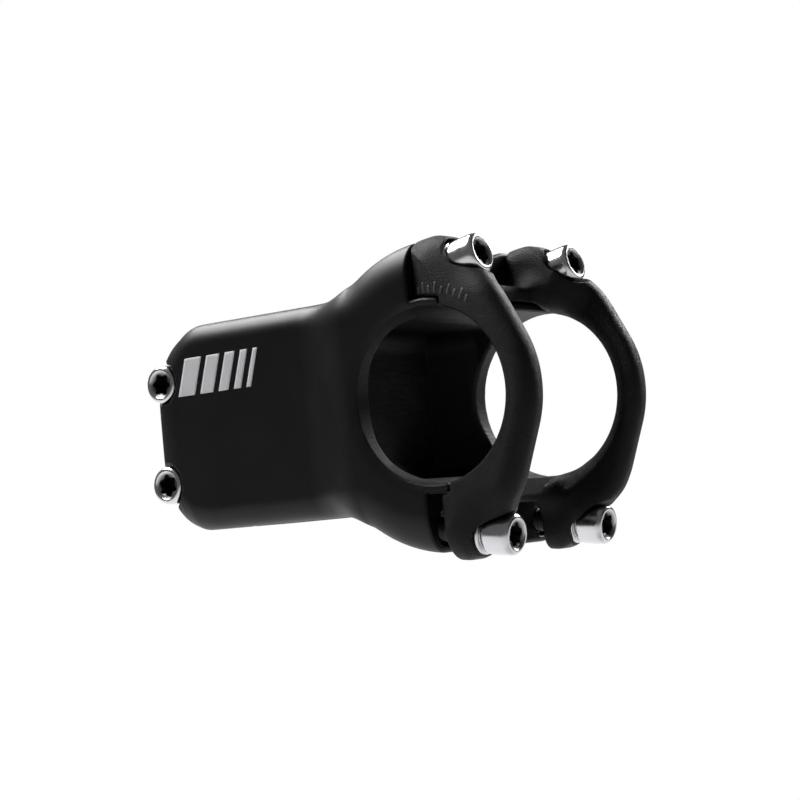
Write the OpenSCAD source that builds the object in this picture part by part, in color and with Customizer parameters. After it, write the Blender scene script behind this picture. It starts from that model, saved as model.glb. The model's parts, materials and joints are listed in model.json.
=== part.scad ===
// Bicycle handlebar stem with an open, four-bolt face clamp.
// Frame: origin on the steerer axis at the lower face of the steerer clamp,
// +X forward to the handlebar, +Y to the rider's left, +Z up the steerer.

/* [Steerer clamp] */
// Diameter of the steerer tube
steerer_d = 28.6; // [28.4:0.1:28.8]
// Height of the clamp along the steerer
stack_h = 44.5; // [44:0.5:46]
// Width of the body over the steerer
body_w = 40; // [39:0.5:41]
// Distance from the steerer axis back to the rear face
rear_reach = 28.5; // [28.3:0.1:29]
// Width of the slot behind the steerer
slot_w = 2.4; // [1.6:0.2:3]
// Distance from the steerer axis back to the upper pinch bolt
upper_pinch_back = 22.8; // [22.2:0.1:23]
// Distance from the steerer axis back to the lower pinch bolt
lower_pinch_back = 23.4; // [22.6:0.1:23.5]
// Distance of each pinch bolt above or below the middle
pinch_rise = 11; // [10:0.5:12]

/* [Handlebar clamp] */
// Diameter of the handlebar
bar_d = 35; // [34.8:0.1:35.2]
// Distance from the steerer axis to the handlebar axis
reach = 50; // [48:1:60]
// Height of the handlebar axis above the lower face
bar_z = 22; // [21.5:0.1:22.5]
// Width of the handlebar clamp
clamp_w = 50; // [49:0.5:52]
// Radius of the top of the clamp round the handlebar axis
crown_r = 30.9; // [30.4:0.1:31.2]
// Radius of the bottom of the clamp round the handlebar axis
keel_r = 31.1; // [30.8:0.1:31.6]
// Distance of the clamp's parting plane behind the handlebar axis
part_back = 2.7; // [2.4:0.1:3]
// Gap between the body and the face clamp at the bottom
lower_gap = 3; // [2:0.1:3.4]

/* [Face clamp] */
// Height of the upper bosses above the handlebar axis
boss_top = 31.5; // [31:0.1:32]
// Depth of the lower bosses below the handlebar axis
boss_bottom = 32.8; // [32:0.1:33.2]
// Width of each arch over the middle of the handlebar
arch_w = 6.8; // [6:0.1:7.2]
// Radius of the arches' outer face
arch_r = 23.1; // [22.6:0.1:23.6]
// Width of each bolt boss
boss_w = 12; // [11.6:0.1:12.4]
// Lean of the arch towards its upper boss, in degrees from upright
upper_slope = 27; // [26:0.5:28]
// Lean of the arch towards its lower boss, in degrees from upright
lower_slope = 21; // [20:0.5:24]
// Thickness of the bridges that join the two arches
bridge_t = 4.8; // [4:0.1:5.4]
// Thickness of the body's lips over the handlebar
lip_t = 1.5; // [1.2:0.1:1.8]

/* [Bolts] */
// Distance of the face clamp bolts from the middle plane
bolt_side = 18.4; // [18:0.1:18.6]
// Upward lean of the upper face clamp bolts, in degrees
upper_lean = 12; // [11:0.5:13]
// Downward lean of the lower face clamp bolts, in degrees
lower_lean = 8; // [7:0.5:8.5]
// Shank length of every face clamp bolt
bolt_len = 16; // [15:0.5:16.5]
// Shank length of both pinch bolts
pinch_len = 30; // [28:0.5:31]

/* [Hidden] */
$fn = 96;

rise_h = stack_h - bar_z;     // height of the steerer clamp above the handlebar axis
bar_r = bar_d / 2;
steerer_r = steerer_d / 2;
clamp_half = clamp_w / 2;
far = 200;                    // longer than any cut needs to be

// rear end of the body
nose_depth = [15.5, 12.5];    // depth over which the rear closes in side view, [top, bottom]
nose_power = 2;               // roundness of the rear in side view
rear_corner = 10;             // plan radius of the rear corners
rear_start = 0.02;            // depth of the flat facet that closes the rear
body_corner = 5;              // radius of the body's long edges
rear_corner_gain = 5;         // growth of that radius towards the rear
rear_corner_over = 18;        // distance from the rear over which it grows
crown_from = 36;              // distance behind the handlebar axis where the edges start to change
crown_over = 20;              // distance over which they change
crown_corner = [6, 8];        // half axes of the long edges over the handlebar, [Y, Z]

// shoulder between the steerer part and the handlebar part
top_fillet = 22;
keel_fillet = 21;
flare_from = 34;              // distance behind the handlebar axis
flare_to = 19;

// hollow behind the handlebar
pocket_half_w = 20.5;
pocket_back_half_w = 15.5;
pocket_half_h = 15.9;
pocket_back = 26.3;           // distance of its back wall behind the handlebar axis
pocket_corner = 5;
pocket_bevel = 2;             // bevel of the back wall's upright corners
saddle_r = 22;                // radius and depth of the hollow in the crown between the upper bolts
saddle_depth = 2.5;
pocket_mouth = 1.5;           // distance past the bore's wall where the sides turn parallel
bore_edge = [0.5, 1.4];       // bevel on the bore's outer edges, along and across the bore

// lips that carry the bore on past the parting plane, and the bridges over them;
// a pair is [upper half, lower half]
lip_front = [4, 2.4];         // how far each lip's front edge is ahead of the handlebar axis
bridge_front = [4.7, 3.1];    // the same for each bridge's front face
lip_gap = 0.3;                // space between a lip and the face clamp
bridge_fillet = 5;            // radius between a bridge and its bosses

// face clamp; a pair is [upper half, lower half]
toe_angle = [45, 43];         // direction and distance of the bevel in front of each boss
toe_reach = [25.6, 26.3];
heel_angle = 116;             // direction and distance of the bevel on each boss's rear corner
heel_reach = [29.7, 30.3];
inner_lip = 16.5;             // starts inside the bore, which then cuts it true
web_floor = 0.6;              // thickness left over the bore at each arch's inner edge
boss_floor = 22;              // radius of each boss's inner floor
boss_from = 52;               // angle from the horizontal at which an arch starts to widen
boss_over = 20;               // angle over which it widens into its boss
arch_edge = [3.6, 4];         // half axes of an arch's outer edge, [Y, radial]
boss_edge = [6, 9];           // the same on a boss
arch_inner_edge = 2.2;        // radius of an arch's inner edge
boss_inner_edge = 2.4;

// M5 bolt, its washer and its seat; local z = 0 is the seat
shank_r = 2.45;
thread_r = 2.5;
washer_r = 4.3;
washer_hole_r = 2.52;
washer_t = 1.0;
neck_r = 3.2;
neck_top = 1.9;
head_base_r = 4.15;
head_shoulder_r = 4.05;
head_face_r = 3.15;
head_shoulder = 5.9;
head_top = 7.5;
socket_depth = 3;
lobe_r = 0.6;
seat_r = 4.7;
pinch_seat_r = 4.6;
hole_r = 2.75;

// middle of each bolt's outer face, seen from the side
upper_face = [reach + 11.6, bar_z + 26.9];
lower_face = [reach + 13.3, bar_z - 28.6];
pinch_seat_y = 12.1;
pinch_mid = bar_z - 0.5;

// bonded inserts and pinch nuts
insert_r = 3.3;
insert_len = 8.5;
insert_set = 0.9;             // depth of the insert's middle below the ear's face
insert_tail = 10;             // depth of the tip clearance hole
nut_barrel_r = 3.3;
nut_flange_r = 4.4;
nut_in = 6;
nut_shelf = 14;
nut_out = 16.5;
glue = 0.02;                  // radial glue film round inserts and nuts

// ---------- shared functions ----------

function ease(t) = let (u = min(1, max(0, t))) u * u * (3 - 2 * u);
function soft_min(a, b, k) = let (h = max(0, k - abs(a - b)) / k) min(a, b) - h * h * k / 4;

// Triangles that join rings of n points, with both ends closed
function skin(rings, n) = concat(
    [for (i = [0:rings - 2], j = [0:n - 1])
        [i * n + j, i * n + (j + 1) % n, (i + 1) * n + (j + 1) % n]],
    [for (i = [0:rings - 2], j = [0:n - 1])
        [i * n + j, (i + 1) * n + (j + 1) % n, (i + 1) * n + j]],
    [[for (j = [n - 1:-1:0]) j]],
    [[for (j = [0:n - 1]) (rings - 1) * n + j]]);

// ---------- body ----------

function shoulder(b, h, r, f) =
    let (centre = -sqrt((r + f) * (r + f) - (h + f) * (h + f)),
         touch = centre * r / (r + f))
    b < centre ? h
    : b < touch ? h + f - sqrt(f * f - (b - centre) * (b - centre))
    : sqrt(r * r - b * b);

function nose(d, k) =
    d >= nose_depth[k] ? 1 : pow(1 - pow(1 - d / nose_depth[k], nose_power), 1 / nose_power);
function half_width(x) =
    let (d = x + rear_reach, c = rear_corner, side = body_w / 2,
         rear = d >= c ? side : side - c + sqrt(c * c - (c - d) * (c - d)))
    rear + (clamp_half - side) * ease((x - reach + flare_from) / (flare_from - flare_to));
function top_height(x) = nose(x + rear_reach, 0) * shoulder(x - reach, rise_h, crown_r, top_fillet);
function keel_height(x) = nose(x + rear_reach, 1) * shoulder(x - reach, bar_z, keel_r, keel_fillet);
function long_corner(x, k) =
    let (r = body_corner + (crown_corner[k] - body_corner) * ease((x - reach + crown_from) / crown_over)
             + rear_corner_gain * ease(1 - (x + rear_reach) / rear_corner_over))
    min(r, 0.95 * top_height(x), 0.95 * keel_height(x));

corner_steps = 7;
ring_n = 4 * (corner_steps + 1);
function body_ring(x) =
    let (w = half_width(x), up = top_height(x), down = keel_height(x),
         ry = long_corner(x, 0), rz = long_corner(x, 1),
         ends = [[w - ry, rz - down, 0], [ry - w, rz - down, -90],
                 [ry - w, up - rz, -180], [w - ry, up - rz, -270]])
    [for (e = ends, k = [0:corner_steps])
        let (a = e[2] - 90 * k / corner_steps)
        [x, e[0] + ry * cos(a), bar_z + e[1] + rz * sin(a)]];

body_x = concat(
    [for (t = [0:9]) -rear_reach + rear_start + (nose_depth[0] - rear_start) * (1 - cos(10 * t))],
    [-rear_reach + nose_depth[0], (reach - flare_from - rear_reach + nose_depth[0]) / 2],
    [for (t = [0:11]) reach - flare_from + (flare_from - 16) * t / 11],
    [for (t = [1:6]) reach - 16 + (16 - part_back) * t / 6]);

module body_shell() {
    points = [for (x = body_x) each body_ring(x)];
    polyhedron(points, skin(len(body_x), ring_n));
}

module bar_bore() {
    translate([reach, 0, bar_z]) rotate([90, 0, 0]) cylinder(r = bar_r, h = far, center = true);
}

module bore_edges() {
    for (s = [0, 180])
        translate([reach, 0, bar_z]) rotate([90, 0, s])
            translate([0, 0, clamp_half - bore_edge[0]])
                cylinder(r1 = bar_r, r2 = bar_r + 2 * bore_edge[1], h = 2 * bore_edge[0]);
}

// Square with round corners, made of true arcs
module round_box(w, h, r) {
    square([w, h - 2 * r], center = true);
    square([w - 2 * r, h], center = true);
    for (sx = [-1, 1], sy = [-1, 1])
        translate([sx * (w / 2 - r), sy * (h / 2 - r)]) circle(r = r);
}

// Part of a cylinder round the handlebar, from the parting plane to its front edge
module lip_space(r, half_w, grow) {
    start = reach - part_back - 1;
    intersection() {
        translate([reach, 0, bar_z]) rotate([90, 0, 0]) cylinder(r = r, h = 2 * half_w, center = true);
        for (k = [0, 1]) {
            length = reach + lip_front[k] + grow - start;
            translate([start, -far / 2, k == 0 ? bar_z : bar_z - far]) cube([length, far, far]);
        }
    }
}

// Shallow hollow along the crown between the two upper bolts
module crown_saddle() {
    translate([0, 0, bar_z + crown_r + saddle_r - saddle_depth])
        rotate([0, 90, 0]) cylinder(r = saddle_r, h = far);
}

module pocket() {
    mouth = reach - bar_r + pocket_mouth;
    back = reach - pocket_back;
    intersection() {
        translate([0, 0, bar_z - far / 2]) linear_extrude(far)
            polygon([[back, -pocket_back_half_w + pocket_bevel], [back + pocket_bevel, -pocket_back_half_w],
                [mouth, -pocket_half_w], [reach, -pocket_half_w],
                [reach, pocket_half_w], [mouth, pocket_half_w],
                [back + pocket_bevel, pocket_back_half_w], [back, pocket_back_half_w - pocket_bevel]]);
        translate([back - 1, 0, bar_z]) rotate([90, 0, 90]) linear_extrude(pocket_back + 1)
            round_box(2 * pocket_half_w, 2 * pocket_half_h, pocket_corner);
    }
}

// Lays a child that points along +Z on a face clamp bolt's axis, seat at z = 0
module on_clamp_bolt(side, upper) {
    face = upper ? upper_face : lower_face;
    lean = upper ? upper_lean : -lower_lean;
    translate([face[0], side * bolt_side, face[1]]) rotate([0, 90 - lean, 0])
        translate([0, 0, -head_top]) children();
}

// Lays a child that points along +Z on a pinch bolt's axis, seat at z = 0
module on_pinch_bolt(upper) {
    back = upper ? upper_pinch_back : lower_pinch_back;
    rise = upper ? pinch_rise : -pinch_rise;
    translate([-back, -pinch_seat_y, pinch_mid + rise]) rotate([90, 0, 0]) children();
}

// Depth from a face clamp bolt's seat to the ear's face, along the bolt
function ear_depth(upper) =
    let (face = upper ? upper_face : lower_face, lean = upper ? upper_lean : lower_lean)
    (face[0] - reach + part_back) / cos(lean) - head_top;

module insert_hole(side, upper) {
    d = ear_depth(upper);
    on_clamp_bolt(side, upper) translate([0, 0, -d - insert_set - insert_len])
        cylinder(r = insert_r + glue, h = insert_len + insert_set + 5);
    on_clamp_bolt(side, upper) translate([0, 0, -d - insert_tail]) cylinder(r = hole_r, h = insert_tail);
}

module stem_body() {
    color([0.05, 0.05, 0.055]) difference() {
        union() {
            body_shell();
            lip_space(bar_r + lip_t, clamp_half - 0.3, 0);
        }
        bar_bore();
        bore_edges();
        pocket();
        crown_saddle();
        cylinder(r = steerer_r, h = far, center = true);
        translate([-far / 2, -slot_w / 2, -far / 2]) cube([far / 2, slot_w, far]);
        for (side = [-1, 1], upper = [true, false]) insert_hole(side, upper);
        for (upper = [true, false]) {
            on_pinch_bolt(upper) cylinder(r = pinch_seat_r, h = 20);
            on_pinch_bolt(upper) translate([0, 0, -far / 2]) cylinder(r = hole_r, h = far);
            on_pinch_bolt(upper) translate([0, 0, -pinch_seat_y - nut_in - far])
                cylinder(r = nut_barrel_r + glue, h = far);
            on_pinch_bolt(upper) translate([0, 0, -pinch_seat_y - nut_shelf - far])
                cylinder(r = nut_flange_r + glue, h = far);
        }
    }
}

// ---------- face clamp ----------

// Outer radius of the arches at angle a above the handlebar axis
// k picks the upper (0) or the lower (1) half
function arch_outer(a, k) =
    let (t = abs(a), lean = k == 0 ? upper_slope : lower_slope,
         front = arch_r / cos(t - lean),
         toe = toe_reach[k] / cos(t - toe_angle[k]),
         crown = (k == 0 ? boss_top : boss_bottom) / sin(t),
         heel = heel_reach[k] / cos(t - heel_angle))
    t < lean ? arch_r
    : t < 40 ? front
    : soft_min(soft_min(front, toe, 1.5), soft_min(crown, heel, 3), 3);
function boss_blend(a) = ease((abs(a) - boss_from) / boss_over);
function between(a, b, t) = a + (b - a) * t;

function arch_ring(a) =
    let (b = boss_blend(a),
         outer = arch_outer(a, a > 0 ? 0 : 1),
         inner_y = clamp_half - between(arch_w, boss_w, b),
         root_y = clamp_half - arch_w,
         floor_r = between(bar_r + web_floor, boss_floor, b),
         ry_out = between(arch_edge[0], boss_edge[0], b),
         rz_out = between(arch_edge[1], boss_edge[1], b),
         r_in = between(arch_inner_edge, boss_inner_edge, b))
    concat(
        [[root_y, inner_lip], [clamp_half - 0.3, inner_lip], [clamp_half, bar_r + 0.3]],
        [for (k = [0:6])
            [clamp_half - ry_out + ry_out * cos(15 * k), outer - rz_out + rz_out * sin(15 * k)]],
        [for (k = [0:3]) [inner_y + r_in - r_in * sin(30 * k), outer - r_in + r_in * cos(30 * k)]],
        [[inner_y, floor_r], [root_y, bar_r + web_floor]]);
arch_n = 16;
arch_a = [for (t = [-18:18]) t * 5.4];

// Left arch with its two bosses
module clamp_shell() {
    points = [for (a = arch_a) each
        [for (p = arch_ring(a)) [reach + p[1] * cos(a), p[0], bar_z + p[1] * sin(a)]]];
    polyhedron(points, skin(len(arch_a), arch_n));
}

// Bridge between the two arches, with round corners under its bosses
module bridge(k) {
    top = bar_r + bridge_t;
    side = clamp_half - boss_w;
    start = reach - part_back;
    translate([start, 0, bar_z]) rotate([90, 0, 90]) linear_extrude(bridge_front[k] + part_back)
        mirror([0, k, 0]) difference() {
            translate([-clamp_half + arch_w - 0.5, bar_r - 3])
                square([clamp_w - 2 * arch_w + 1, 3 + bridge_t + bridge_fillet]);
            translate([bridge_fillet - side, top]) square([2 * (side - bridge_fillet), far]);
            translate([-side, top + bridge_fillet]) square([2 * side, far]);
            for (y = [-1, 1]) translate([y * (side - bridge_fillet), top + bridge_fillet])
                circle(r = bridge_fillet);
        }
}

// Room under the bridges, so that only the arches bear on the handlebar
module bridge_relief() {
    translate([reach, 0, bar_z]) rotate([90, 0, 0])
        cylinder(r = bar_r + lip_t + lip_gap, h = clamp_w - 2 * arch_w, center = true);
}

module face_clamp() {
    color([0.09, 0.09, 0.095]) difference() {
        union() {
            clamp_shell();
            mirror([0, 1, 0]) clamp_shell();
            difference() {
                for (k = [0, 1]) bridge(k);
                bridge_relief();
            }
        }
        bar_bore();
        lip_space(bar_r + lip_t + lip_gap, far / 2, lip_gap);
        translate([reach - part_back - far, -far / 2, bar_z - 1]) cube([far, far, far]);
        translate([reach - part_back + lower_gap - far, -far / 2, bar_z - far]) cube([far, far, far]);
        for (side = [-1, 1], upper = [true, false]) {
            on_clamp_bolt(side, upper) cylinder(r = seat_r, h = 40);
            on_clamp_bolt(side, upper) translate([0, 0, -20]) cylinder(r = hole_r, h = 30);
        }
    }
}

// ---------- bolts, washers, inserts and nuts ----------

module star_socket() {
    translate([0, 0, head_top - socket_depth]) linear_extrude(socket_depth + 1) {
        circle(r = 1.72);
        for (k = [0:5]) rotate(60 * k) translate([1.65, 0]) circle(r = lobe_r);
    }
}

module bolt(length) {
    color([0.78, 0.78, 0.8]) difference() {
        rotate_extrude() polygon([[0, -length], [shank_r - 0.5, -length], [shank_r, 0.5 - length],
            [shank_r, washer_t + 0.02], [neck_r, washer_t + 0.02], [neck_r, neck_top],
            [head_base_r, neck_top], [head_shoulder_r, head_shoulder],
            [head_face_r, head_top], [0, head_top]]);
        star_socket();
    }
}

module washer() {
    color([0.7, 0.7, 0.72]) rotate_extrude()
        polygon([[washer_hole_r, 0], [washer_r, 0], [washer_r, washer_t - 0.3],
            [washer_r - 0.3, washer_t], [washer_hole_r, washer_t]]);
}

module insert(upper) {
    color([0.13, 0.13, 0.135]) translate([0, 0, -ear_depth(upper) - insert_set - insert_len]) difference() {
        cylinder(r = insert_r, h = insert_len);
        translate([0, 0, -1]) cylinder(r = thread_r, h = insert_len + 2);
    }
}

module pinch_nut() {
    color([0.13, 0.13, 0.135]) difference() {
        union() {
            translate([0, 0, -pinch_seat_y - nut_out]) cylinder(r = nut_barrel_r, h = nut_out - nut_in);
            translate([0, 0, -pinch_seat_y - nut_out]) cylinder(r = nut_flange_r, h = nut_out - nut_shelf);
        }
        translate([0, 0, -far / 2]) cylinder(r = thread_r, h = far);
    }
}

module right_upper_bolt() { on_clamp_bolt(-1, true) bolt(bolt_len); }
module right_lower_bolt() { on_clamp_bolt(-1, false) bolt(bolt_len); }
module left_upper_bolt() { on_clamp_bolt(1, true) bolt(bolt_len); }
module left_lower_bolt() { on_clamp_bolt(1, false) bolt(bolt_len); }
module right_upper_washer() { on_clamp_bolt(-1, true) washer(); }
module right_lower_washer() { on_clamp_bolt(-1, false) washer(); }
module left_upper_washer() { on_clamp_bolt(1, true) washer(); }
module left_lower_washer() { on_clamp_bolt(1, false) washer(); }
module right_upper_insert() { on_clamp_bolt(-1, true) insert(true); }
module right_lower_insert() { on_clamp_bolt(-1, false) insert(false); }
module left_upper_insert() { on_clamp_bolt(1, true) insert(true); }
module left_lower_insert() { on_clamp_bolt(1, false) insert(false); }
module upper_steerer_bolt() { on_pinch_bolt(true) bolt(pinch_len); }
module lower_steerer_bolt() { on_pinch_bolt(false) bolt(pinch_len); }
module upper_steerer_washer() { on_pinch_bolt(true) washer(); }
module lower_steerer_washer() { on_pinch_bolt(false) washer(); }
module upper_steerer_nut() { on_pinch_bolt(true) pinch_nut(); }
module lower_steerer_nut() { on_pinch_bolt(false) pinch_nut(); }

stem_body();
face_clamp();
right_upper_bolt();
right_lower_bolt();
left_upper_bolt();
left_lower_bolt();
right_upper_washer();
right_lower_washer();
left_upper_washer();
left_lower_washer();
right_upper_insert();
right_lower_insert();
left_upper_insert();
left_lower_insert();
upper_steerer_bolt();
lower_steerer_bolt();
upper_steerer_washer();
lower_steerer_washer();
upper_steerer_nut();
lower_steerer_nut();
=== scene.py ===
"""Looks of a bicycle handlebar stem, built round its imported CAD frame.

Lengths are in millimetres in the row frame until a mesh is made, which is in metres. The body and
the face clamp are distance fields, meshed with a surface net and pulled onto the exact surface,
so that every edge is rounded. The bolts, washers, inserts and nuts are turned profiles.
"""
import json
import math
import random

import bpy
import numpy as np
from mathutils import Matrix, Vector


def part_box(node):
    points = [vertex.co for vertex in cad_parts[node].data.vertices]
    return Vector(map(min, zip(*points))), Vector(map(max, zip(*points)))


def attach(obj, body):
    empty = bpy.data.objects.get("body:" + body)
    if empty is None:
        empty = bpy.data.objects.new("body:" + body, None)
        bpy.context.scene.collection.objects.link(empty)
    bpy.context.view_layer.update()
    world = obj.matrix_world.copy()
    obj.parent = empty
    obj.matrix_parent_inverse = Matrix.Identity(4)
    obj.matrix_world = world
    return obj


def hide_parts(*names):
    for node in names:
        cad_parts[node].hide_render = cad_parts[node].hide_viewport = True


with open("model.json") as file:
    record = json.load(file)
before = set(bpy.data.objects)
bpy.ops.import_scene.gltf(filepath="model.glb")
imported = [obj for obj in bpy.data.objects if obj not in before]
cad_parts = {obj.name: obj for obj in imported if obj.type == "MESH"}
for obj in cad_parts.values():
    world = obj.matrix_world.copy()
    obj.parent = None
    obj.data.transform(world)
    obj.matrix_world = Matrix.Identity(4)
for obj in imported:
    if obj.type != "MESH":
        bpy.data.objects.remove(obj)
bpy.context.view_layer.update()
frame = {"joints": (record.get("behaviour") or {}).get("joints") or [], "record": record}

MM = 0.001
RNG = random.Random(7)

# ---------- driving dimensions, as in the CAD ----------

MOUNTS = {m["name"]: m for m in frame["record"]["mounts"]}
JOINTS = {j["name"]: j for j in frame["joints"]}
BAR_X, _, BAR_Z = (c / MM for c in MOUNTS["handlebar_clamp"]["pos_m"])
BAR_R = MOUNTS["handlebar_clamp"]["dims"]["r_mm"]
STEERER_R = MOUNTS["steerer_clamp"]["dims"]["r_mm"]
STACK = MOUNTS["steerer_clamp"]["dims"]["length_mm"]
REAR = -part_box("stem_body")[0].x / MM
BODY_HALF = 20.0                        # half width of the steerer part
CLAMP_HALF = 25.0                       # half width of the handlebar part
SLOT_HALF = 1.2                         # half width of the steerer slot
PART_X = BAR_X - 2.7                    # plane where the face clamp meets the body
LOWER_GAP = 3.0                         # gap between them below the handlebar
CROWN_R, KEEL_R = 30.9, 31.1            # body over and under the handlebar
HEAD_TOP = 7.5                          # a bolt's seat to the top of its head
SEAT_R, PINCH_SEAT_R = 4.7, 4.6         # counterbores in the face clamp and in the body
HOLE_R = 2.75
PITCH = 0.8
SHANK_R = 2.45
BOLT_LEN, PINCH_LEN = 16.0, 30.0
LIP_T, LIP_GAP = 1.5, 0.3               # the body's lips over and under the handlebar
LIP_FRONT = (4.0, 2.4)                  # pairs hold a value above and one below the handlebar
BRIDGE_T, BRIDGE_FILLET = 4.8, 4.5
BRIDGE_FRONT = (4.7, 3.1)
SLEEVE_R = 3.3                          # inserts and the barrels of the nuts
INSERT_SET, INSERT_LEN = 0.9, 8.5
NUT_IN, NUT_SHELF, NUT_FLANGE_R = 6.0, 14.0, 4.4
GLUE = 0.02                             # film round each insert and nut


def ease(t):
    t = np.clip(t, 0.0, 1.0)
    return t * t * (3 - 2 * t)


# ---------- distance fields ----------

def cut(a, b, r):
    """The part of a that is also in b, with the edge between them rounded to radius r."""
    u, v = np.maximum(a + r, 0), np.maximum(b + r, 0)
    return np.minimum(np.maximum(a, b), -r) + np.sqrt(u * u + v * v)


def join(a, b, r):
    """a and b together, with a fillet of radius r between them."""
    return -cut(-a, -b, r)


def oval_cut(a, b, ra, rb):
    """As cut, with an elliptical edge: ra deep from a's face and rb deep from b's."""
    u, v = np.maximum(a / ra + 1, 0), np.maximum(b / rb + 1, 0)
    inner = np.maximum(a / ra, b / rb)
    return np.where((u > 0) | (v > 0), np.sqrt(u * u + v * v) - 1, inner) * np.minimum(ra, rb)


class Outline:
    """Signed distance to a closed 2-D outline, sampled once on a fine grid."""

    def __init__(self, points, step=0.25, margin=9.0):
        p = np.asarray(points, float)
        self.lo, self.step = p.min(0) - margin, step
        n = np.ceil((p.max(0) + margin - self.lo) / step).astype(int) + 1
        u = (self.lo[0] + step * np.arange(n[0]))[:, None]
        v = (self.lo[1] + step * np.arange(n[1]))[None, :]
        best, inside = np.full(n, 1e9), np.zeros(n, bool)
        for a, b in zip(p, np.roll(p, -1, axis=0)):
            d = b - a
            t = np.clip(((u - a[0]) * d[0] + (v - a[1]) * d[1]) / max(d @ d, 1e-12), 0, 1)
            best = np.minimum(best, (u - a[0] - t * d[0]) ** 2 + (v - a[1] - t * d[1]) ** 2)
            if a[1] != b[1]:
                across = (v >= min(a[1], b[1])) & (v < max(a[1], b[1]))
                inside ^= across & (u < a[0] + (v - a[1]) * d[0] / d[1])
        self.grid = np.where(inside, -1, 1) * np.sqrt(best)
        self.lean = np.gradient(self.grid, step, axis=0)

    def forward(self, u, v):
        """How much the outline's outward normal points along the first axis, from -1 to 1."""
        return self(u, v, self.lean)

    def __call__(self, u, v, g=None):
        g = self.grid if g is None else g
        n = g.shape
        fu = np.clip((u - self.lo[0]) / self.step, 0, n[0] - 1.001)
        fv = np.clip((v - self.lo[1]) / self.step, 0, n[1] - 1.001)
        i, j = fu.astype(int), fv.astype(int)
        fu, fv = fu - i, fv - j
        low = g[i, j] * (1 - fv) + g[i, j + 1] * fv
        high = g[i + 1, j] * (1 - fv) + g[i + 1, j + 1] * fv
        return low * (1 - fu) + high * fu


def along(axis_point, axis, x, y, z):
    """(distance along an axis from its point, distance from the axis)."""
    d = [x - axis_point[0], y - axis_point[1], z - axis_point[2]]
    t = d[0] * axis[0] + d[1] * axis[1] + d[2] * axis[2]
    return t, np.sqrt(np.maximum(d[0] ** 2 + d[1] ** 2 + d[2] ** 2 - t * t, 1e-12))


def bolt_frame(joint):
    """(seat point, outward unit axis) of a bolt, in millimetres."""
    j = JOINTS[joint]
    axis = np.array(j["axis"]) / np.linalg.norm(j["axis"])
    at = np.array(j["pos_m"]) / MM
    return (at, axis) if "steerer" in joint else (at - HEAD_TOP * axis, axis)


# ---------- stem body ----------

TOP_FILLET, KEEL_FILLET = 22.0, 21.0    # hollows between the steerer part and the clamp part
NOSE_DEPTH = (15.5, 12.5)               # how far the rear's rounding reaches, above and below
SADDLE_R, SADDLE_DEPTH = 22.0, 2.5      # hollow in the crown between the upper bolts
REAR_CORNER = 10.0
FLARE_FROM, FLARE_TO = 34.0, 19.0       # behind the handlebar axis, where the sides widen
POCKET_BACK = BAR_X - 26.3
POCKET_HALF = (20.5, 15.9)              # half width at the mouth and half height
POCKET_BACK_HALF = 15.5                 # half width at the back
OUTLINE_STEP = 0.5


def shoulder(b, h, r, f):
    """Height over the handlebar axis, at b from it, of a flat at h that blends into a circle.

    r is the circle's radius and f the radius of the hollow between the two.
    """
    centre = -math.sqrt((r + f) ** 2 - (h + f) ** 2)
    if b < centre:
        return h
    if b < centre * r / (r + f):
        return h + f - math.sqrt(f * f - (b - centre) ** 2)
    return math.sqrt(max(r * r - b * b, 0))


def side_points():
    """Outline of the body from the side: along the top to the front, then back below."""
    def nose(d, depth):
        return 1.0 if d >= depth else math.sqrt(max(1 - (1 - d / depth) ** 2, 0))

    def edge(depth, height, radius, fillet):
        rear = [depth * (1 - math.cos(math.radians(3 * t))) for t in range(30)]
        xs = [-REAR + d for d in rear] + list(np.arange(-REAR + depth, BAR_X + 12, OUTLINE_STEP))
        return [(x, nose(x + REAR, depth) * shoulder(x - BAR_X, height, radius, fillet))
                for x in xs]

    top = [(x, BAR_Z + h) for x, h in edge(NOSE_DEPTH[0], STACK - BAR_Z, CROWN_R, TOP_FILLET)]
    keel = [(x, BAR_Z - h) for x, h in edge(NOSE_DEPTH[1], BAR_Z, KEEL_R, KEEL_FILLET)]
    return top + keel[:0:-1]


def plan_points():
    """Outline of the body from above."""
    def half(x):
        d = x + REAR
        c = REAR_CORNER
        rear = BODY_HALF if d >= c else BODY_HALF - c + math.sqrt(max(c * c - (c - d) ** 2, 0))
        flare = float(ease((x - BAR_X + FLARE_FROM) / (FLARE_FROM - FLARE_TO)))
        return rear + (CLAMP_HALF - BODY_HALF) * flare

    corner = [REAR_CORNER * (1 - math.cos(math.radians(6 * t))) for t in range(15)]
    straight = np.arange(-REAR + REAR_CORNER, BAR_X + 12, OUTLINE_STEP)
    xs = [-REAR + d for d in corner] + list(straight)
    return [(x, half(x)) for x in xs] + [(x, -half(x)) for x in reversed(xs)]


def pocket_points():
    """Outline of the hollow behind the handlebar from above."""
    half = [(POCKET_BACK, POCKET_BACK_HALF), (BAR_X - BAR_R + 1.5, POCKET_HALF[0]),
            (BAR_X + 1, POCKET_HALF[0])]
    return [(x, -y) for x, y in half] + half[::-1]


SIDE, PLAN, POCKET_PLAN = Outline(side_points()), Outline(plan_points()), Outline(pocket_points())


def pocket(x, y, z):
    """The hollow behind the handlebar."""
    return cut(POCKET_PLAN(x, y), np.abs(z - BAR_Z) - POCKET_HALF[1], 4.5)


def bar_bore(x, z):
    """Distance outside the handlebar bore."""
    return np.sqrt((x - BAR_X) ** 2 + (z - BAR_Z) ** 2) - BAR_R


def by_half(z, pair):
    """The first of a pair above the handlebar axis, the second below it."""
    return np.where(z > BAR_Z, pair[0], pair[1])


def lip(x, z, grow):
    """The body's lips over the handlebar, grown by a clearance."""
    return cut(bar_bore(x, z) - LIP_T - grow, x - BAR_X - by_half(z, LIP_FRONT) - grow, 0.2)


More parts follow.
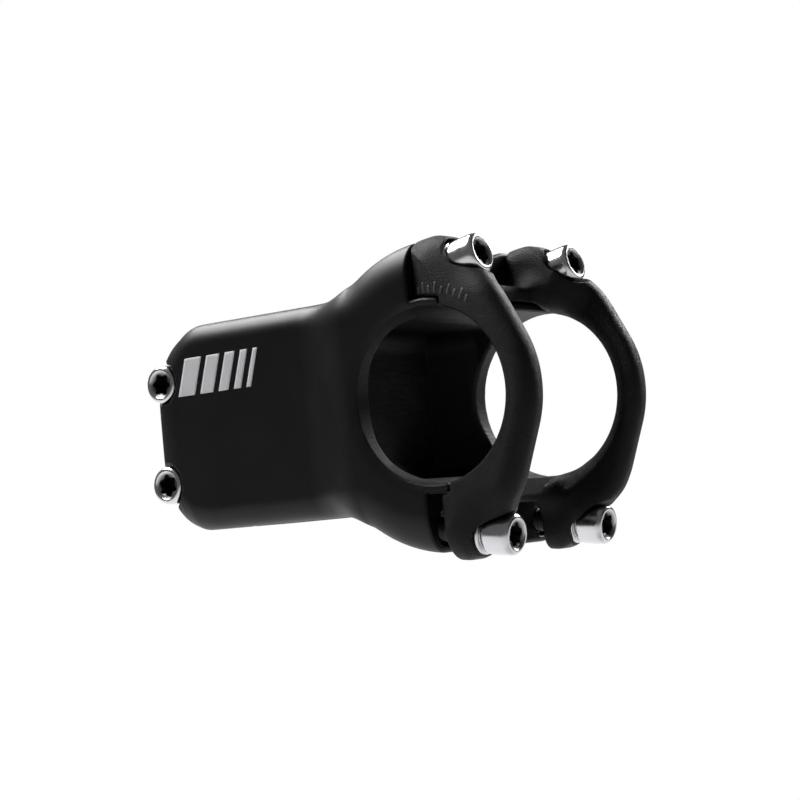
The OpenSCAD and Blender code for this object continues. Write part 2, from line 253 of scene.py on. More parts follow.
def bore_chamfer(x, y, z):
    """Flat bevel round each end of the bore."""
    wide, deep = 1.5, 0.5
    radial = bar_bore(x, z)
    return ((np.abs(y) - CLAMP_HALF) * wide + (wide - radial) * deep) / math.hypot(wide, deep)


def body_field(x, y, z):
    """The stem body. Its long edges get rounder towards the clamp part and towards the rear."""
    forward = ease((x - BAR_X + 36) / 20)
    rearward = 5 * ease(1 - (x + REAR) / 18)
    apart = np.clip(1 - PLAN.forward(x, y) * SIDE.forward(x, z), 0.02, 1)
    shell = oval_cut(PLAN(x, y), SIDE(x, z),
                     apart * (5 + forward + rearward), apart * (5 + 3 * forward + rearward))
    saddle = SADDLE_R - np.hypot(y, z - BAR_Z - CROWN_R - SADDLE_R + SADDLE_DEPTH)
    d = cut(cut(shell, saddle, 2.0), x - PART_X, 0.7)
    lips = cut(cut(lip(x, z, 0.0), PART_X - 2 - x, 0.2), np.abs(y) - CLAMP_HALF + 0.1, 0.3)
    d = join(d, lips, 0.3)
    d = cut(d, -bar_bore(x, z), 0.4)
    d = cut(d, bore_chamfer(x, y, z), 0.35)
    d = cut(d, -pocket(x, y, z), 0.8)
    slot = cut(np.abs(y) - SLOT_HALF, x, 0.1)
    d = cut(d, -join(np.sqrt(x * x + y * y) - STEERER_R, slot, 0.2), 0.5)
    for level in ("upper", "lower"):
        at, axis = bolt_frame(f"{level}_steerer_bolt_turn")
        t, r = along(at, axis, x, y, z)
        seat = at[1]
        d = cut(d, -cut(r - PINCH_SEAT_R, -t, 0.3), 0.45)
        d = np.maximum(d, HOLE_R - r)
        d = np.maximum(d, -np.maximum(r - SLEEVE_R - GLUE, t - seat + NUT_IN))
        d = cut(d, -cut(r - NUT_FLANGE_R - GLUE, t - seat + NUT_SHELF, 0.2), 0.3)
        for side in ("right", "left"):
            at, axis = bolt_frame(f"{side}_{level}_bolt_turn")
            t, r = along(at, axis, x, y, z)
            ear = (at[0] - PART_X) / axis[0]
            bottom = ear + INSERT_SET + INSERT_LEN
            d = cut(d, -np.maximum(r - SLEEVE_R - GLUE, -t - bottom), 0.35)
    return d


# ---------- face clamp ----------

ARCH_W, BOSS_W, ARCH_R = 6.8, 12.0, 23.1
LEAN = (27.0, 21.0)                     # angle of the flats that follow the round front
TOE = ((45.0, 25.6), (43.0, 26.3))      # angle and distance of the flat before each bolt
CREST = (31.5, 32.8)                    # top and bottom, from the handlebar axis
HEEL_ANGLE, HEEL = 116.0, (29.7, 30.3)  # angle and distance of the slope by the body
BOSS_FLOOR = 21.0                       # radius where the slope between the bosses ends
RIM_ANGLE = 98                          # how far the arches' outline is followed, in degrees


def soft_min(a, b, k):
    """The smaller of a and b, blended where they are less than k apart."""
    h = max(0.0, k - abs(a - b)) / k
    return min(a, b) - h * h * k / 4


def arch_outer(a):
    """Outer radius of the arches at angle a, in degrees above the handlebar axis."""
    k, t = (0 if a > 0 else 1), abs(a)
    if t < LEAN[k]:
        return ARCH_R
    front = ARCH_R / math.cos(math.radians(t - LEAN[k]))
    if t < 40:
        return front
    toe = TOE[k][1] / math.cos(math.radians(t - TOE[k][0]))
    crest = CREST[k] / math.sin(math.radians(t))
    heel = HEEL[k] / math.cos(math.radians(t - HEEL_ANGLE))
    return soft_min(soft_min(front, toe, 1.5), soft_min(crest, heel, 3), 3)


def arch_points():
    """Outline of the arches from the side."""
    rim = [(math.radians(a), arch_outer(a)) for a in np.arange(-RIM_ANGLE, RIM_ANGLE + 0.1, 1.0)]
    return [(BAR_X + r * math.cos(a), BAR_Z + r * math.sin(a)) for a, r in rim]


ARCH = Outline(arch_points(), margin=6.0)


def bridge(x, y, z):
    """The two bridges that join the arches, over and under the handlebar."""
    block = cut(np.abs(z - BAR_Z) - BAR_R - BRIDGE_T, x - BAR_X - by_half(z, BRIDGE_FRONT), 1.6)
    block = cut(block, y - CLAMP_HALF + ARCH_W - 0.8, 0.3)
    return cut(block, LIP_T + LIP_GAP - bar_bore(x, z), 0.3)


def apron(x, y, z):
    """The lower bridge's front skin, which hides the lip behind it."""
    skin = cut(x - BAR_X - BRIDGE_FRONT[1], BAR_X + LIP_FRONT[1] + 0.15 - x, 0.1)
    skin = cut(skin, 0.1 - bar_bore(x, z), 0.1)
    skin = np.maximum(skin, BAR_Z - BAR_R - BRIDGE_T + 1.5 - z)
    return np.maximum(np.maximum(skin, z - BAR_Z + BAR_R - 2), y - CLAMP_HALF + ARCH_W - 0.8)


def clamp_field(x, y, z):
    """The face clamp, the same on both sides of the middle."""
    y = np.abs(y)
    bore = bar_bore(x, z)
    angle = np.degrees(np.arctan2(np.abs(z - BAR_Z), x - BAR_X))
    boss = ease((angle - 52) / 20)
    rim = ARCH(x, z)
    d = oval_cut(y - CLAMP_HALF, rim, 3.6 + 2.4 * boss, 4 + 5 * boss)
    root = CLAMP_HALF - ARCH_W
    inner = root - (BOSS_W - ARCH_W) * boss - y
    d = oval_cut(d, inner, 2.4, 2.6)
    slope = np.array([BAR_R + 0.6 - BOSS_FLOOR, -(BOSS_W - ARCH_W)])
    slope /= np.linalg.norm(slope)
    floor = (y - root) * slope[0] + (bore - 0.6) * slope[1]
    d = cut(d, floor, 2.2)
    d = join(d, bridge(x, y, z), BRIDGE_FILLET)
    upper = ease((z - BAR_Z) / 4 + 0.5)
    face = PART_X + LOWER_GAP * (1 - upper) - x
    d = cut(d, face, 0.7)
    d = cut(d, -bore, 0.5)
    d = cut(d, -lip(x, z, LIP_GAP), 0.7)
    d = np.minimum(d, apron(x, y, z))
    for level in ("upper", "lower"):
        t, r = along(*bolt_frame(f"left_{level}_bolt_turn"), x, y, z)
        d = cut(d, -cut(r - SEAT_R, -t, 0.5), 0.6)
        d = cut(d, -np.maximum(r - HOLE_R, -t - 14), 0.2)
    return d


# ---------- meshing ----------

def surface_net(field, lo, hi, step):
    """Points and quads of the surface where field is 0, one point in each cell that it crosses."""
    axes = [np.arange(lo[c] - 3 * step, hi[c] + 3 * step, step) for c in range(3)]
    v = field(*np.ix_(*axes))
    inside = v < 0
    cells = tuple(n - 1 for n in v.shape)
    count = np.zeros(cells, np.int8)
    for di in (0, 1):
        for dj in (0, 1):
            for dk in (0, 1):
                count += inside[di:di + cells[0], dj:dj + cells[1], dk:dk + cells[2]]
    active = (count > 0) & (count < 8)
    index = np.full(cells, -1)
    n = int(active.sum())
    index[active] = np.arange(n)
    total, weight, quads = np.zeros((n, 3)), np.zeros(n), []
    for axis in range(3):
        a = np.take(v, range(v.shape[axis] - 1), axis)
        b = np.take(v, range(1, v.shape[axis]), axis)
        edge = np.argwhere((a < 0) != (b < 0))
        va, vb = a[tuple(edge.T)], b[tuple(edge.T)]
        point = edge.astype(float)
        point[:, axis] += va / (va - vb)
        du, dw = np.eye(3, dtype=int)[(axis + 1) % 3], np.eye(3, dtype=int)[(axis + 2) % 3]
        ring = np.stack([index[tuple((edge - s).T)] for s in (0 * du, du, du + dw, dw)], axis=1)
        for c in range(3):
            total[:, c] += np.bincount(ring.ravel(), np.repeat(point[:, c], 4), n)
        weight += np.bincount(ring.ravel(), minlength=n)
        quads.append(np.where((va < 0)[:, None], ring, ring[:, ::-1]))
    origin = np.array([ax[0] for ax in axes])
    return origin + step * total / weight[:, None], np.concatenate(quads)


def gradient(field, p, h=0.02):
    """A field's slope at each point, from steps of h either way."""
    g = np.empty_like(p)
    for c in range(3):
        e = np.zeros(3)
        e[c] = h
        g[:, c] = (field(*(p + e).T) - field(*(p - e).T)) / (2 * h)
    return g


def pull(field, p, most):
    """Moves points onto the surface along its gradient."""
    g = gradient(field, p)
    move = -field(*p.T)[:, None] * g / np.maximum((g * g).sum(1), 0.05)[:, None]
    size = np.linalg.norm(move, axis=1)[:, None]
    return p + move * np.minimum(1, most / np.maximum(size, 1e-9))


def relax(p, quads):
    """Each point's step towards the middle of its neighbours."""
    n = len(p)
    a, b = quads.ravel(), np.roll(quads, -1, axis=1).ravel()
    total = np.stack([np.bincount(a, p[b, c], n) + np.bincount(b, p[a, c], n) for c in range(3)],
                     axis=1)
    return total / (np.bincount(a, minlength=n) + np.bincount(b, minlength=n))[:, None] - p


def net_surface(field, lo, hi, step):
    """Points, quads and normals of a field's surface, with the points spread evenly over it."""
    p, quads = surface_net(field, lo, hi, step)
    for _ in range(3):
        p = pull(field, p, step)
        n = gradient(field, p)
        n /= np.linalg.norm(n, axis=1)[:, None]
        s = relax(p, quads)
        p = p + 0.5 * (s - (s * n).sum(1)[:, None] * n)
    for _ in range(2):
        p = pull(field, p, step)
    return p, quads, gradient(field, p, 0.08)


def mesh_piece(name, points, faces, normals=None):
    """A smooth object of points in millimetres, with its own normals where they are given."""
    mesh = bpy.data.meshes.new(name)
    mesh.from_pydata((np.asarray(points) * MM).tolist(), [], [list(map(int, f)) for f in faces])
    mesh.polygons.foreach_set("use_smooth", [True] * len(mesh.polygons))
    if normals is not None:
        n = normals / np.linalg.norm(normals, axis=1)[:, None]
        mesh.normals_split_custom_set_from_vertices(n.tolist())
    piece = bpy.data.objects.new(name, mesh)
    bpy.context.scene.collection.objects.link(piece)
    return piece


def mark(piece, name, values):
    """Stores one number per point, which a material reads."""
    layer = piece.data.attributes.new(name, "FLOAT", "POINT")
    layer.data.foreach_set("value", np.asarray(values, np.float32))


def printed(name, field, side, patches, thickness=0.05):
    """Thin marks on a field's side face: each patch is four (x, z) corners, laid on the surface."""
    points, faces = [], []
    for a, b, c, d in (np.array(corners, float) for corners in patches):
        n, m = (max(2, int(np.ceil(np.linalg.norm(e) / 0.5)) + 1) for e in (b - a, d - a))
        s, t = np.meshgrid(np.linspace(0, 1, n), np.linspace(0, 1, m), indexing="ij")
        s, t = s.ravel()[:, None], t.ravel()[:, None]
        flat = (1 - t) * ((1 - s) * a + s * b) + t * ((1 - s) * d + s * c)
        p = np.column_stack([flat[:, 0], np.full(len(flat), side * CLAMP_HALF), flat[:, 1]])
        for _ in range(12):
            p[:, 1] -= side * np.clip(field(*p.T), -2, 2)
        g = gradient(field, p)
        g /= np.linalg.norm(g, axis=1)[:, None]
        start, count = len(points), n * m
        points += list(p + thickness * g) + list(p - thickness * g)
        cell = [(i * m + j, (i + 1) * m + j, (i + 1) * m + j + 1, i * m + j + 1)
                for i in range(n - 1) for j in range(m - 1)]
        rim = ([i * m for i in range(n)] + [(n - 1) * m + j for j in range(1, m)]
               + [i * m + m - 1 for i in range(n - 2, -1, -1)] + [j for j in range(m - 2, 0, -1)])
        under = start + count
        faces += [tuple(start + k for k in q) for q in cell]
        faces += [tuple(under + k for k in reversed(q)) for q in cell]
        faces += [(start + v, start + u, under + u, under + v)
                  for u, v in zip(rim, rim[1:] + rim[:1])]
    return mesh_piece(name, points, faces if side < 0 else [f[::-1] for f in faces])


# ---------- turned pieces ----------

SEGMENTS = 72


def turned(at, axis, rings, spin):
    """Points, side faces and lengths along the profile of rings round an axis.

    A ring is (height, radius), and its radius may be a function of the angle and the height.
    """
    turn = 2 * math.pi * np.arange(SEGMENTS) / SEGMENTS
    ax = Vector(axis)
    u = ax.orthogonal().normalized()
    u = np.array(Matrix.Rotation(spin, 3, ax) @ u)
    w = np.cross(axis, u)
    points, flow, length, last = [], [], 0.0, None
    for h, r in rings:
        radius = r(turn, h) if callable(r) else np.full(SEGMENTS, float(r))
        across = np.outer(radius * np.cos(turn), u) + np.outer(radius * np.sin(turn), w)
        points.append(across + at + h * axis)
        mean = float(radius.mean())
        if last is not None:
            length += math.hypot(h - last[0], mean - last[1])
        last = (h, mean)
        flow += [length] * SEGMENTS
    faces = []
    for k in range(len(rings) - 1):
        faces += band(k, k + 1)
    return np.concatenate(points), faces, flow


def band(k, m):
    """The faces between ring k and ring m."""
    ahead = [(s + 1) % SEGMENTS for s in range(SEGMENTS)]
    a, b = k * SEGMENTS, m * SEGMENTS
    return [(a + s, a + t, b + t, b + s) for s, t in enumerate(ahead)]


def turned_piece(name, at, axis, rings, closed=True, spin=0.0, deep=None):
    """closed: both ends are filled. Otherwise the last ring meets the first, as on a washer.

    deep holds one number a ring, from 0 on the outside to 1 where the metal gets painted shade.
    """
    points, faces, flow = turned(at, axis, rings, spin)
    count = len(rings)
    if closed:
        faces += [tuple(range(SEGMENTS))[::-1],
                  tuple(range((count - 1) * SEGMENTS, count * SEGMENTS))]
    else:
        faces += band(count - 1, 0)
    piece = mesh_piece(name, points, faces)
    mark(piece, "flow", flow)
    mark(piece, "deep", np.repeat(deep if deep is not None else [0.0] * count, SEGMENTS))
    return piece


def rounded(profile, r=0.15, steps=3):
    """A profile with each inner corner replaced by a short arc."""
    out = [profile[0]]
    for a, b, c in zip(profile, profile[1:], profile[2:]):
        a, b, c = map(np.array, (a, b, c))
        la, lc = np.linalg.norm(a - b), np.linalg.norm(c - b)
        k = min(r, 0.45 * la, 0.45 * lc)
        p, q = b + (a - b) * k / la, b + (c - b) * k / lc
        for i in range(steps + 1):
            t = i / steps
            out.append(tuple((1 - t) ** 2 * p + 2 * t * (1 - t) * b + t * t * q))
    return out + [profile[-1]]


def thread(crest, depth):
    """Radius by angle and height of a right-handed screw thread with flattened crests."""
    def radius(turn, h):
        phase = np.mod(h / PITCH - turn / (2 * math.pi), 1.0)
        wave = np.clip(1.25 * (1 - np.abs(2 * phase - 1)) - 0.12, 0, 1)
        return crest - depth * wave
    return radius


def star(scale):
    """Radius by angle of a six-lobed socket."""
    def radius(turn, _h):
        phase = np.mod(turn, math.pi / 3) - math.pi / 6
        lobe = 0.5 + 0.5 * np.cos(6 * phase)
        return scale * (1.78 + 0.62 * lobe ** 1.3)
    return radius


def bolt_piece(name, joint, length):
    """A bolt from its tip to the bottom of its socket."""
    at, axis = bolt_frame(joint)
    tip = [(-length, 0.4), (-length, 1.6)]
    heights = np.arange(-length + 0.35, -0.6, PITCH / 8)
    shank = [(h, thread(SHANK_R, 0.42)) for h in heights]
    nose = [(6.15 + 1.35 * math.sin(a), 3.3 + 0.82 * math.cos(a))
            for a in (math.radians(10 * k) for k in range(10))]
    head = rounded([(0.0, SHANK_R), (1.05, SHANK_R), (1.05, 3.2), (1.9, 3.2), (1.9, 4.15),
                    nose[0]], 0.16)
    face = nose[1:] + [(HEAD_TOP, 3.05), (HEAD_TOP - 0.06, 2.98)]
    socket = [(HEAD_TOP - 0.45, 2.62), (HEAD_TOP - 0.5, star(1.0)), (HEAD_TOP - 2.7, star(0.99)),
              (HEAD_TOP - 2.85, star(0.85)), (HEAD_TOP - 3.0, 0.5)]
    # Painted shade on the metal: near black on the thread and in the socket, and partly at the
    # socket's rim.
    deep = [0.9] * len(tip + shank) + [0.0] * len(head + face) + [0.6] + [1.0] * (len(socket) - 1)
    rings = tip + shank + head + face + socket
    return turned_piece(name, at, axis, rings, spin=RNG.uniform(0, 1.0), deep=deep)


def washer_piece(name, joint):
    """A washer, which stands from a bolt's seat to the underside of its head."""
    at, axis = bolt_frame(joint)
    outline = [(0.5, 2.53), (0.1, 2.53), (0.0, 2.63), (0.0, 4.2), (0.08, 4.3), (0.75, 4.3),
               (0.9, 4.22), (1.0, 4.02), (1.0, 2.63), (0.9, 2.53)]
    return turned_piece(name, at, axis, outline, closed=False)


def sleeve_rings(low, high, outer, flange=None):
    """Rings of a threaded sleeve. flange is (radius, thickness), at its low end."""
    bore = SHANK_R + 0.1
    inside = [(h, thread(bore, 0.42)) for h in np.arange(high - 0.3, low + 0.3, -PITCH / 8)]
    shell = [(low, outer), (high, outer)]
    if flange:
        step = low + flange[1]
        shell = [(low, flange[0]), (step, flange[0]), (step, outer), (high, outer)]
    return inside + rounded([(low, bore)] + shell + [(high, bore)], 0.25)


# ---------- materials ----------

class Paint:
    """A node material with a few helpers to wire it."""

    def __init__(self, name):
        self.mat = bpy.data.materials.new(name)
        self.mat.use_nodes = True
        self.tree = self.mat.node_tree
        self.tree.nodes.clear()
        self.out = self.node("ShaderNodeOutputMaterial")
        self.shader = self.node("ShaderNodeBsdfPrincipled")
        self.wire(self.shader, "BSDF", self.out, "Surface")
        self.place = self.node("ShaderNodeTexCoord")

    def node(self, kind, **inputs):
        n = self.tree.nodes.new(kind)
        for key, value in inputs.items():
            n.inputs[key].default_value = value
        return n

    def wire(self, a, out, b, into):
        self.tree.links.new(a.outputs[out], b.inputs[into])

    def stretched(self, scale, turn=(0, 0, 0)):
        """Object coordinates times scale, per metre."""
        m = self.node("ShaderNodeMapping")
        m.inputs["Scale"].default_value = scale
        m.inputs["Rotation"].default_value = turn
        self.wire(self.place, "Object", m, "Vector")
        return m

    def noise(self, scale, detail=3.0, rough=0.55, turn=(0, 0, 0)):
        """Noise over the object; scale is one number, or one for each axis."""
        scale = scale if isinstance(scale, tuple) else (scale, scale, scale)
        n = self.node("ShaderNodeTexNoise", Scale=1.0, Detail=detail, Roughness=rough)
        self.wire(self.stretched(scale, turn), "Vector", n, "Vector")
        return n

    def stored(self, name):
        """A number that is stored on the mesh's points."""
        n = self.node("ShaderNodeAttribute")
        n.attribute_name = name
        return n.outputs["Fac"]

    def ranged(self, source, out, low, high, start=0.0, end=1.0):
        """Maps start..end of a node's output to low..high."""
        r = self.node("ShaderNodeMapRange")
        r.inputs["From Min"].default_value = start
        r.inputs["From Max"].default_value = end
        r.inputs["To Min"].default_value = low
        r.inputs["To Max"].default_value = high
        self.wire(source, out, r, "Value")
        return r

    def math(self, kind, a, b):
        """a and b are numbers or sockets."""
        n = self.node("ShaderNodeMath")
        n.operation = kind
        for k, value in enumerate((a, b)):
            if isinstance(value, (int, float)):
                n.inputs[k].default_value = value
            else:
                self.tree.links.new(value, n.inputs[k])
        return n.outputs[0]

    def mix(self, factor, a, b):
        """a where factor is 0, b where it is 1; a and b are colours or sockets."""
        n = self.node("ShaderNodeMix")
        n.data_type = "RGBA"
        self.tree.links.new(factor, n.inputs["Factor"])
        for key, value in (("A", a), ("B", b)):
            socket = [s for s in n.inputs if s.name == key and s.type == "RGBA"][0]
            if isinstance(value, tuple):
                socket.default_value = (*value, 1)
            else:
                self.tree.links.new(value, socket)
        return [s for s in n.outputs if s.type == "RGBA"][0]

    def bump(self, height, strength, distance, before=None):
        n = self.node("ShaderNodeBump", Strength=strength, Distance=distance)
        self.tree.links.new(height, n.inputs["Height"])
        if before:
            self.wire(before, "Normal", n, "Normal")
        return n


def grey(v):
    return (v, v, v * 1.03)


def carbon():
    """Satin black moulded body, with raw laminate in the bore and the hollow, and painted shade on
    the hollow's side walls and upper back.
    """
    p = Paint("satin_carbon")
    tows = p.noise((60, 700, 2600), 4.0)
    cloud = p.noise(90, 2.0)
    grain = p.noise(5200, 2.0)
    raw = p.stored("raw")
    ply = p.noise((350, 260, 1300), 5.0, 0.7, (0.25, 0.2, 0.1))
    resin = p.noise(700, 5.0, 0.7)
    blotch = p.noise(170, 4.0, 0.6)
    skin = p.mix(tows.outputs["Fac"], grey(0.0034), grey(0.0056))
    bare = p.ranged(ply, "Fac", 0.0015, 0.012, 0.38, 0.72)
    patchy = p.ranged(blotch, "Fac", 0.3, 1.5, 0.35, 0.65)
    bare = p.math("MULTIPLY", bare.outputs[0], patchy.outputs[0])
    specks = p.ranged(resin, "Fac", 0.0, 0.02, 0.62, 0.8)
    bare = p.math("ADD", bare, specks.outputs[0])
    # Painted shade: the hollow's side walls and upper back are darkened to near black.
    unshaded = p.math("SUBTRACT", 1.0, p.math("MULTIPLY", p.stored("painted_pocket_shade"), 0.93))
    bare = p.math("MULTIPLY", bare, unshaded)
    inside = p.node("ShaderNodeCombineColor")
    for key in ("Red", "Green", "Blue"):
        p.tree.links.new(bare, inside.inputs[key])
    colour = p.mix(raw, skin, inside.outputs["Color"])
    p.tree.links.new(colour, p.shader.inputs["Base Color"])
    satin = p.ranged(cloud, "Fac", 0.40, 0.47, 0.3, 0.7)
    rough = p.math("ADD", satin.outputs[0], p.math("MULTIPLY", raw, 0.08))
    p.tree.links.new(rough, p.shader.inputs["Roughness"])
    p.shader.inputs["Specular IOR Level"].default_value = 0.29
    fine = p.bump(grain.outputs["Fac"], 0.12, 0.00004)
    rubble = p.math("ADD", ply.outputs["Fac"], p.math("MULTIPLY", resin.outputs["Fac"], 0.6))
    depth = p.math("MULTIPLY", rubble, raw)
    coarse = p.bump(depth, 0.55, 0.0003, fine)
    p.wire(coarse, "Normal", p.shader, "Normal")
    return p.mat


def grained_black():
    """Fine-grained matte black of the face clamp."""
    p = Paint("grained_black")
    pebble = p.noise(3400, 3.0, 0.65)
    fine = p.noise(6000, 2.0)
    wear = p.noise(300, 3.0)
    colour = p.mix(pebble.outputs["Fac"], grey(0.001), grey(0.006))
    p.tree.links.new(colour, p.shader.inputs["Base Color"])
    rough = p.ranged(wear, "Fac", 0.38, 0.47, 0.3, 0.7)
    p.wire(rough, "Result", p.shader, "Roughness")
    p.shader.inputs["Specular IOR Level"].default_value = 0.24
    a = p.bump(fine.outputs["Fac"], 0.2, 0.00006)
    b = p.bump(pebble.outputs["Fac"], 0.8, 0.0004, a)
    p.wire(b, "Normal", p.shader, "Normal")
    return p.mat


def turned_metal(name, tone, rough):
    """Polished metal with fine tool marks that run round the axis, with painted shade where it is
    deep.
    """
    p = Paint(name)
    flow, deep = p.stored("flow"), p.stored("deep")
    lines = p.node("ShaderNodeTexNoise", Scale=1.0, Detail=3.0, Roughness=0.7)
    lines.noise_dimensions = "1D"
    p.tree.links.new(p.math("MULTIPLY", flow, 14.0), lines.inputs["W"])
    smudge = p.noise(500, 3.0)
    clean = p.mix(smudge.outputs["Fac"], grey(tone * 0.9), grey(tone))
    # Painted shade: rings marked deep, in the socket and on the thread, go near black.
    colour = p.mix(deep, clean, grey(0.006))
    p.tree.links.new(colour, p.shader.inputs["Base Color"])
    p.shader.inputs["Metallic"].default_value = 1.0
    spread = p.math("ADD", p.ranged(smudge, "Fac", rough * 0.8, rough * 1.2, 0.3, 0.7).outputs[0],
                    p.math("MULTIPLY", lines.outputs["Fac"], 0.1))
    spread = p.math("ADD", spread, p.math("MULTIPLY", deep, 0.2))
    p.tree.links.new(spread, p.shader.inputs["Roughness"])
    n = p.bump(lines.outputs["Fac"], 0.3, 0.00003)
    p.wire(n, "Normal", p.shader, "Normal")
    return p.mat


def ink(name, tone):
    """Printed marks, slightly uneven."""
    p = Paint(name)
    cover = p.noise(1500, 3.0)
    colour = p.mix(cover.outputs["Fac"], grey(tone * 0.88), grey(tone))
    p.tree.links.new(colour, p.shader.inputs["Base Color"])
    p.wire(p.ranged(cover, "Fac", 0.45, 0.6), "Result", p.shader, "Roughness")
    p.wire(p.bump(cover.outputs["Fac"], 0.15, 0.00003), "Normal", p.shader, "Normal")
    return p.mat


# ---------- the pieces ----------

CARBON, GRAINED = carbon(), grained_black()
STEEL = turned_metal("polished_steel", 0.82, 0.16)
ALLOY = turned_metal("anodised_alloy", 0.05, 0.3)
WHITE, PALE = ink("white_ink", 0.85), ink("faint_grey_ink", 0.07)


BODY_STEP, CLAMP_STEP = 0.55, 0.36


def finish_piece(piece, body, slot, material, *nodes):
    """Gives a piece its material and body, and hides the CAD nodes that it stands for; slot is not
    used.
    """
    piece.data.materials.append(material)
    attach(piece, body)
    if nodes:
        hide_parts(*nodes)


def shell(name, field, node, step):
    """A field's surface as a piece, and its points."""
    lo, hi = (np.array(corner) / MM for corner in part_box(node))
    points, quads, normals = net_surface(field, lo, hi, step)
    return mesh_piece(name, points, quads, normals), points


body, p = shell("stem_body_shell", body_field, "stem_body", BODY_STEP)
on_pocket = ease(1 - np.abs(pocket(*p.T)) / 0.8)
on_bore = ease(1 - np.abs(bar_bore(p[:, 0], p[:, 2])) / 0.5)
mark(body, "raw", np.maximum(on_pocket, on_bore))
# Painted shade in the hollow behind the handlebar: its side walls and its upper part, near the
# back, are darkened in the colour.
behind = ease((POCKET_BACK + 9 - p[:, 0]) / 1.5)
beside = ease((np.abs(p[:, 1]) - POCKET_BACK_HALF + 0.8) / 0.8)
above = ease((p[:, 2] - BAR_Z - 7.0 - 0.25 * np.sin(p[:, 1])) / 0.5)
mark(body, "painted_pocket_shade", np.maximum(beside, above) * on_pocket * behind)
finish_piece(body, "stem", "carbon_body", CARBON, "stem_body")

clamp, _ = shell("face_clamp_shell", clamp_field, "face_clamp", CLAMP_STEP)
finish_piece(clamp, "face_clamp", "clamp_black", GRAINED, "face_clamp")


def slanted_bars():
    """White bars that lean forward and get narrower towards the front."""
    low, high, lean, gap = 29.2, 37.2, 2.6, 1.5
    at, patches = -17.4, []
    for width in (4.6, 3.6, 2.7, 1.9, 1.2):
        patches.append([(at, low), (at + width, low), (at + width + lean, high), (at + lean, high)])
        at += width + gap
    return patches


def ticks():
    """A row of short marks round the handlebar axis, every other one longer."""
    axis, patches = np.array([BAR_X, BAR_Z]), []
    for k in range(9):
        a = math.radians(92 - 4.2 * k)
        r0, r1, half = 19.9, 22.1 if k % 2 else 21.4, 0.22
        out = np.array([math.cos(a), math.sin(a)])
        across = half * np.array([-math.sin(a), math.cos(a)])
        patches.append([axis + r0 * out + across, axis + r0 * out - across,
                        axis + r1 * out - across, axis + r1 * out + across])
    return patches


for side, word in ((-1, "right"), (1, "left")):
    bars = printed(f"{word}_side_bars", body_field, side, slanted_bars())
    finish_piece(bars, "stem", "side_marks", WHITE)
    marks = printed(f"{word}_clamp_ticks", clamp_field, side, ticks(), 0.03)
    finish_piece(marks, "face_clamp", "side_marks", PALE)


def screw(stem, length):
    """A bolt and its washer, and the bolt's seat and axis."""
    joint = f"{stem}_bolt_turn"
    bolt = bolt_piece(f"{stem}_bolt_turned", joint, length)
    finish_piece(bolt, f"{stem}_bolt", "polished_steel", STEEL, f"{stem}_bolt")
    washer = washer_piece(f"{stem}_washer_turned", joint)
    finish_piece(washer, f"{stem}_washer", "polished_steel", STEEL, f"{stem}_washer")
    return bolt_frame(joint)


def sleeve(node, at, axis, rings):
    """An insert or nut, which stays in the body."""
    piece = turned_piece(f"{node}_turned", at, axis, rings, closed=False)
    finish_piece(piece, "stem", "alloy", ALLOY, node)


for level in ("upper", "lower"):
    for side in ("right", "left"):
        at, axis = screw(f"{side}_{level}", BOLT_LEN)
        ear = (at[0] - PART_X) / axis[0]
        sleeve(f"{side}_{level}_insert", at, axis,
               sleeve_rings(-ear - INSERT_SET - INSERT_LEN, -ear - INSERT_SET, SLEEVE_R))
    at, axis = screw(f"{level}_steerer", PINCH_LEN)
    sleeve(f"{level}_steerer_nut", at, axis,
           sleeve_rings(at[1] - 16.5, at[1] - NUT_IN, SLEEVE_R, (NUT_FLANGE_R, 2.5)))

# ---------- floor, light and camera ----------

MIDDLE = (0.02, 0, 0.022)               # where the lights point
# The camera's place, and its right, up and back directions
EYE = (0.26345, -0.34848, -0.00228)
EYE_RIGHT = (0.82003, 0.56471, -0.09305)
EYE_UP = (0.11144, 0.00192, 0.99377)
EYE_BACK = (0.56137, -0.82529, -0.06136)


def plane(name, size, at, look, material):
    mesh = bpy.data.meshes.new(name)
    h = size / 2
    mesh.from_pydata([(-h, -h, 0), (h, -h, 0), (h, h, 0), (-h, h, 0)], [], [(0, 1, 2, 3)])
    o = bpy.data.objects.new(name, mesh)
    o.location = at
    o.rotation_euler = Vector(look).to_track_quat("Z", "Y").to_euler()
    mesh.materials.append(material)
    bpy.context.scene.collection.objects.link(o)
    return o


def softbox(name, at, size, power):
    """A rectangular light that faces the middle of the part."""
    data = bpy.data.lights.new(name, "AREA")
    data.shape = "RECTANGLE"
    data.size, data.size_y = size
    data.energy = power
    o = bpy.data.objects.new(name, data)
    o.location = at
    o.rotation_euler = (Vector(MIDDLE) - Vector(at)).to_track_quat("-Z", "Y").to_euler()
    bpy.context.scene.collection.objects.link(o)


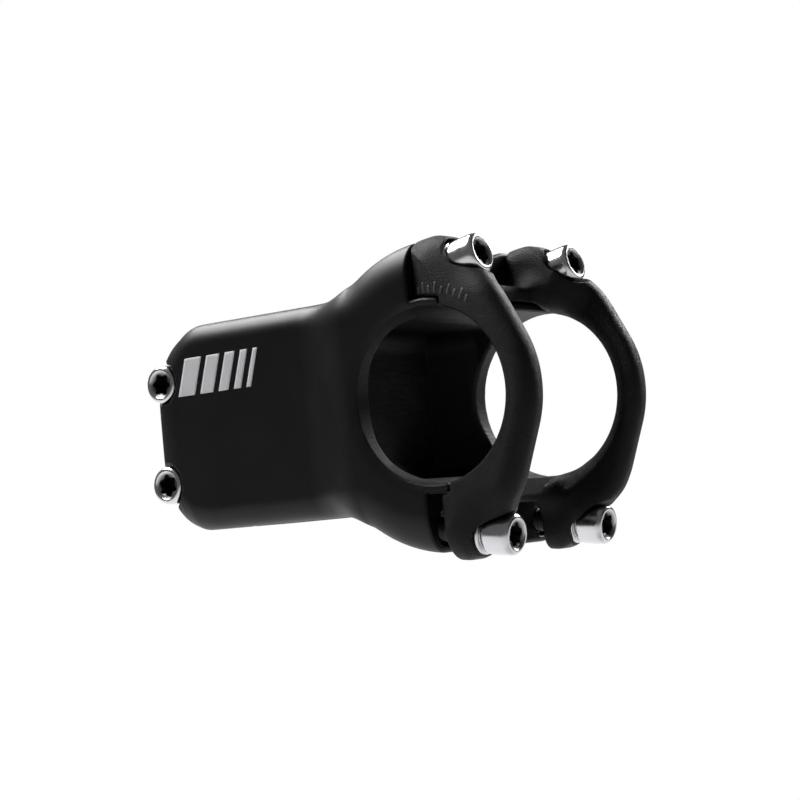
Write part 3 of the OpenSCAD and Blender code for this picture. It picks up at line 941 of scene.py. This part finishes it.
def seen_white(tree, lit):
    """A shader that is plain white to the camera and lit's everywhere else."""
    seen = tree.nodes.new("ShaderNodeEmission")
    ray, blend = tree.nodes.new("ShaderNodeLightPath"), tree.nodes.new("ShaderNodeMixShader")
    tree.links.new(ray.outputs["Is Camera Ray"], blend.inputs["Fac"])
    tree.links.new(lit.outputs[0], blend.inputs[1])
    tree.links.new(seen.outputs[0], blend.inputs[2])
    return blend


def pale_floor():
    p = Paint("pale_floor")
    p.shader.inputs["Base Color"].default_value = (0.6, 0.6, 0.6, 1)
    p.shader.inputs["Roughness"].default_value = 0.9
    p.wire(seen_white(p.tree, p.shader), 0, p.out, "Surface")
    return p.mat


floor = plane("pale_floor", 30.0, (0, 0, -0.09), (0, 0, 1), pale_floor())

# The world is dimmest ahead of the part and to its left, which keeps the clamp's front dark.
world = bpy.data.worlds.new("studio")
bpy.context.scene.world = world
world.use_nodes = True
tree = world.node_tree
tree.nodes.clear()
lit = tree.nodes.new("ShaderNodeBackground")
lit.inputs["Color"].default_value = (1, 1, 1, 1)
facing = tree.nodes.new("ShaderNodeTexCoord")
ahead = tree.nodes.new("ShaderNodeVectorMath")
ahead.operation = "DOT_PRODUCT"
ahead.inputs[1].default_value = (0.5, 0.86, 0.0)
fade = tree.nodes.new("ShaderNodeMapRange")
fade.inputs["From Max"].default_value = 0.8
fade.inputs["To Min"].default_value = 0.1
fade.inputs["To Max"].default_value = 0.01
tree.links.new(facing.outputs["Generated"], ahead.inputs[0])
tree.links.new(ahead.outputs["Value"], fade.inputs["Value"])
tree.links.new(fade.outputs["Result"], lit.inputs["Strength"])
out = tree.nodes.new("ShaderNodeOutputWorld")
tree.links.new(seen_white(tree, lit).outputs[0], out.inputs["Surface"])

softbox("overhead", (-0.37, 0.0, 0.60), (0.62, 0.34), 8.5)
softbox("behind", (0.15, 0.85, 0.50), (0.6, 0.35), 7.0)

camera = bpy.data.cameras.new("camera")
camera.sensor_width = 36.0
camera.lens = 89.8
camera.clip_start, camera.clip_end = 0.01, 50.0
eye = bpy.data.objects.new("camera", camera)
bpy.context.scene.collection.objects.link(eye)
turn = Matrix((EYE_RIGHT, EYE_UP, EYE_BACK)).transposed().to_4x4()
eye.matrix_world = Matrix.Translation(EYE) @ turn
bpy.context.scene.camera = eye
bpy.context.scene.view_settings.view_transform = "Standard"
